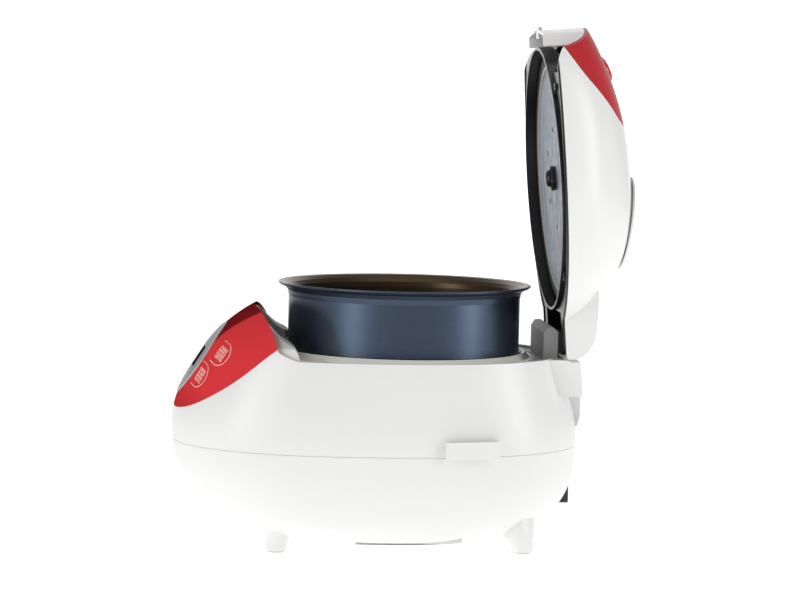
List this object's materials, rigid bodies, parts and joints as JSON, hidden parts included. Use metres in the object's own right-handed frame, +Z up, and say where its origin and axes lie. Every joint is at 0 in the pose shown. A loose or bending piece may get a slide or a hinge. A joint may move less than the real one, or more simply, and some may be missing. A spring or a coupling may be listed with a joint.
{
  "type": "rice cooker",
  "caption": "Rounded rice cooker with its lid swung open on a rear hinge, a lifted inner pot, front control panel, steam cap and rear dew cup.",
  "frame": {"origin": "on the floor under the axis of the inner pot", "axes": "+X the cooker's right side, -Y its front with the control panel, +Z up"},
  "size_m": [0.2601, 0.3991, 0.45],
  "materials": {
    "white_shell": "smooth glossy moulded plastic",
    "red_panel": "red metallic film under clear gloss",
    "red_key": "red metallic film, flexible over the switch",
    "red_button": "bright red gloss",
    "silver_bezel": "satin silver",
    "window_glass": "dark clear window",
    "grey_deck": "fine textured grey",
    "cream_ring": "smooth satin cream",
    "black_plastic": "smooth black",
    "silicone": "translucent grey silicone",
    "foot_rubber": "soft pale rubber",
    "pot_coat": "dark blue-grey satin coating outside, bronze non-stick inside",
    "plate_alu": "brushed anodised aluminium",
    "casing_steel": "bright sheet steel",
    "cast_alu": "cast and machined",
    "steel": "plain steel",
    "spring_steel": "drawn spring wire",
    "clear_cup": "clear plastic",
    "board_green": "printed circuit board",
    "component_black": "moulded component cases",
    "band_mica": "glass and mica wrapped band",
    "brass_pin": "plated pins"
  },
  "bodies": {
    "cooker_base": {"lower_housing": "white_shell", "upper_housing": "white_shell", "bottom_cover": "white_shell", "foot_pads": "foot_rubber", "bottom_screws": "steel", "housing_screws": "steel", "control_fascia": "red_panel", "bezel_disc": "silver_bezel", "display_window": "window_glass", "display_module": "component_black", "control_board": "board_green", "tact_switches": "component_black", "front_deck": "grey_deck", "rear_deck": "grey_deck", "pot_ring": "cream_ring", "latch_catch": "black_plastic", "inner_casing": "casing_steel", "heater_plate": "cast_alu", "heating_element": "steel", "heater_screws": "steel", "sensor_spring": "spring_steel", "sensor_bracket": "casing_steel", "side_heater_band": "band_mica", "thermal_fuse": "component_black", "power_board": "board_green", "transformer": "component_black", "board_parts": "component_black", "power_inlet": "black_plastic", "inlet_pins": "brass_pin", "rear_hinge_cover": "white_shell", "scoop_holder": "white_shell", "hinge_bracket": "grey_deck", "hinge_pin": "steel", "hinge_spring": "spring_steel"},
    "lid": {"lid_shell": "white_shell", "lid_fascia": "red_panel", "lid_front_cap": "white_shell", "lid_inner_frame": "black_plastic", "lid_gasket": "silicone", "inner_plate": "plate_alu", "plate_knob": "component_black", "lid_heater": "band_mica", "lid_sensor": "component_black", "steam_duct": "white_shell", "lid_screws": "steel", "button_spring": "spring_steel", "button_seat": "black_plastic", "latch_guide": "black_plastic"},
    "open_button": {"open_button": "red_button"},
    "latch_slide": {"latch_hook": "black_plastic"},
    "steam_cap": {"steam_cap_top": "white_shell", "steam_cap_base": "white_shell", "steam_cap_seal": "silicone"},
    "inner_pot": {"inner_pot": "pot_coat"},
    "dew_cup": {"dew_cup": "clear_cup"},
    "center_sensor": {"center_sensor": "cast_alu"},
    "key_menu": {"key_menu": "red_key"},
    "key_timer": {"key_timer": "red_key"},
    "key_warm": {"key_warm": "red_key"},
    "key_cancel": {"key_cancel": "red_key"}
  },
  "joints": [
    {"name": "lid_hinge", "type": "hinge", "parent": "cooker_base", "child": "lid", "pos_m": [0, 0.143, 0.176], "axis": [1, 0, 0], "range_deg": [0, 85.5], "stiffness_Nm_per_rad": 0.45, "springref_deg": -68.75},
    {"name": "pot_lift", "type": "slide", "parent": "cooker_base", "child": "inner_pot", "axis": [0, 0, 1], "range_m": [-0.0528, 0]},
    {"name": "sensor_plunge", "type": "slide", "parent": "cooker_base", "child": "center_sensor", "axis": [0, 0, 1], "range_m": [-0.0024, 0], "stiffness_N_per_m": 300},
    {"name": "dew_cup_slide", "type": "slide", "parent": "cooker_base", "child": "dew_cup", "axis": [0, 1, 0], "range_m": [0, 0.035]},
    {"name": "button_press", "type": "slide", "parent": "lid", "child": "open_button", "axis": [0, -0.8886, -0.4587], "range_m": [0, 0.003], "stiffness_N_per_m": 600, "springref_m": -0.002},
    {"name": "latch_release", "type": "slide", "parent": "lid", "child": "latch_slide", "axis": [0, 0.0785, -0.9969], "range_m": [0, 0.0036]},
    {"name": "steam_cap_lift", "type": "slide", "parent": "lid", "child": "steam_cap", "axis": [0, 0.9936, -0.1132], "range_m": [0, 0.03]},
    {"name": "key_menu_press", "type": "slide", "parent": "cooker_base", "child": "key_menu", "axis": [0, 0.829, -0.5592], "range_m": [0, 0.0008], "stiffness_N_per_m": 900, "springref_m": -0.0006},
    {"name": "key_timer_press", "type": "slide", "parent": "cooker_base", "child": "key_timer", "axis": [0, 0.829, -0.5592], "range_m": [0, 0.0008], "stiffness_N_per_m": 900, "springref_m": -0.0006},
    {"name": "key_warm_press", "type": "slide", "parent": "cooker_base", "child": "key_warm", "axis": [0, 0.829, -0.5592], "range_m": [0, 0.0008], "stiffness_N_per_m": 900, "springref_m": -0.0006},
    {"name": "key_cancel_press", "type": "slide", "parent": "cooker_base", "child": "key_cancel", "axis": [0, 0.829, -0.5592], "range_m": [0, 0.0008], "stiffness_N_per_m": 900, "springref_m": -0.0006}
  ],
  "couplings": [
    {"joint": "pot_lift", "follows": "lid_hinge", "m_per_rad": -0.035383},
    {"joint": "sensor_plunge", "follows": "lid_hinge", "m_per_rad": -0.001608},
    {"joint": "latch_release", "follows": "button_press", "ratio": 1.2}
  ]
}
